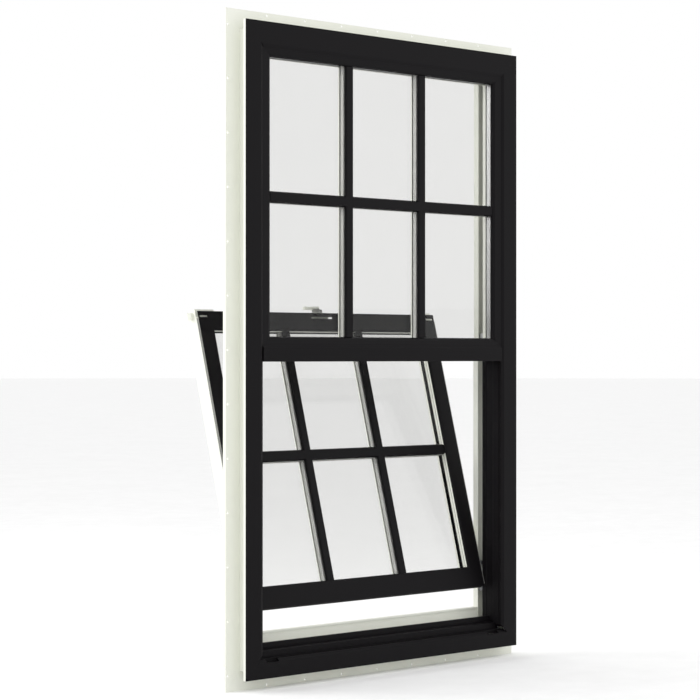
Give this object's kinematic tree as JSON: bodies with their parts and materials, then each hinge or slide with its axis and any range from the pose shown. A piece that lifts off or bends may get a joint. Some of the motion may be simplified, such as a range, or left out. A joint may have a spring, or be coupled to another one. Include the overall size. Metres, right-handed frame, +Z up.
{
  "type": "single-hung sash window",
  "caption": "Single-hung sash window, black outside and cream inside, with a nail fin, a fixed upper light and a lower sash that slides up and tilts into the room.",
  "frame": {"origin": "centre of the nail-hole pattern, in the plane of the nailing fin's back", "axes": "+X to the right seen from outside, +Y towards the room, +Z up; the outside faces -Y"},
  "size_m": [0.8224, 0.2262, 1.2796],
  "materials": {
    "vinyl_black": "satin",
    "vinyl_cream": "satin",
    "glass": "polished",
    "spacer_grey": "satin",
    "bar_grey": "satin",
    "pile_grey": "woven pile",
    "rubber_black": "matte",
    "steel": "brushed",
    "shoe_grey": "matte",
    "enamel_cream": "gloss"
  },
  "bodies": {
    "frame": {"head": "vinyl_cream", "sill": "vinyl_cream", "jamb_left": "vinyl_cream", "jamb_right": "vinyl_cream", "jamb_liner_left": "vinyl_black", "jamb_liner_right": "vinyl_black", "meeting_rail": "vinyl_black", "meeting_rail_pile": "pile_grey", "meeting_rail_screws": "enamel_cream", "upper_stop_head": "vinyl_cream", "upper_stop_left": "vinyl_cream", "upper_stop_right": "vinyl_cream", "upper_bead_head": "vinyl_black", "upper_bead_sill": "vinyl_black", "upper_bead_left": "vinyl_black", "upper_bead_right": "vinyl_black", "upper_pane_outer": "glass", "upper_pane_inner": "glass", "upper_spacer": "spacer_grey", "upper_setting_blocks": "rubber_black", "upper_bars_outer": "vinyl_black", "upper_bars_between": "bar_grey", "upper_bars_inner": "vinyl_cream", "lock_keeper": "enamel_cream", "keeper_screws": "steel", "balance_bracket_left": "steel", "balance_bracket_right": "steel", "bracket_screws": "steel", "balance_ribbon_left": "steel", "balance_ribbon_right": "steel"},
    "carriage": {"balance_shoe_left": "shoe_grey", "balance_shoe_right": "shoe_grey", "balance_coil_left": "steel", "balance_coil_right": "steel"},
    "sash": {"sash_stile_left": "vinyl_cream", "sash_stile_right": "vinyl_cream", "sash_top_rail": "vinyl_cream", "sash_bottom_rail": "vinyl_cream", "sash_bead_top": "vinyl_cream", "sash_bead_bottom": "vinyl_cream", "sash_bead_left": "vinyl_cream", "sash_bead_right": "vinyl_cream", "sash_pane_outer": "glass", "sash_pane_inner": "glass", "sash_spacer": "spacer_grey", "sash_setting_blocks": "rubber_black", "sash_bars_outer": "vinyl_black", "sash_bars_between": "bar_grey", "sash_bars_inner": "vinyl_cream", "sash_side_piles": "pile_grey", "sash_bottom_seal": "rubber_black", "pivot_bars": "steel", "shoe_cams": "steel", "lock_base": "enamel_cream", "lock_screws": "steel", "latch_housings": "vinyl_cream"},
    "latch_left": {"latch_bolt_left": "vinyl_cream"},
    "latch_right": {"latch_bolt_right": "vinyl_cream"},
    "lock": {"lock_cam": "enamel_cream"}
  },
  "joints": [
    {"name": "sash_slide", "type": "slide", "parent": "frame", "child": "carriage", "axis": [0, 0, 1], "range_m": [-0.0637, 0.446], "deforming": ["balance_ribbon_left", "balance_ribbon_right"]},
    {"name": "sash_tilt", "type": "hinge", "parent": "carriage", "child": "sash", "pos_m": [0, 0.02995, -0.4858], "axis": [-1, 0, 0], "range_deg": [-14.6, 75.4]},
    {"name": "latch_left_slide", "type": "slide", "parent": "sash", "child": "latch_left", "axis": [1, 0, 0], "range_m": [0, 0.014], "stiffness_N_per_m": 200, "springref_m": -0.01},
    {"name": "latch_right_slide", "type": "slide", "parent": "sash", "child": "latch_right", "axis": [-1, 0, 0], "range_m": [0, 0.014], "stiffness_N_per_m": 200, "springref_m": -0.01},
    {"name": "lock_turn", "type": "hinge", "parent": "sash", "child": "lock", "pos_m": [0, 0.16844, 0.06095], "axis": [0, -0.2521, -0.9677], "range_deg": [0, 90]}
  ]
}
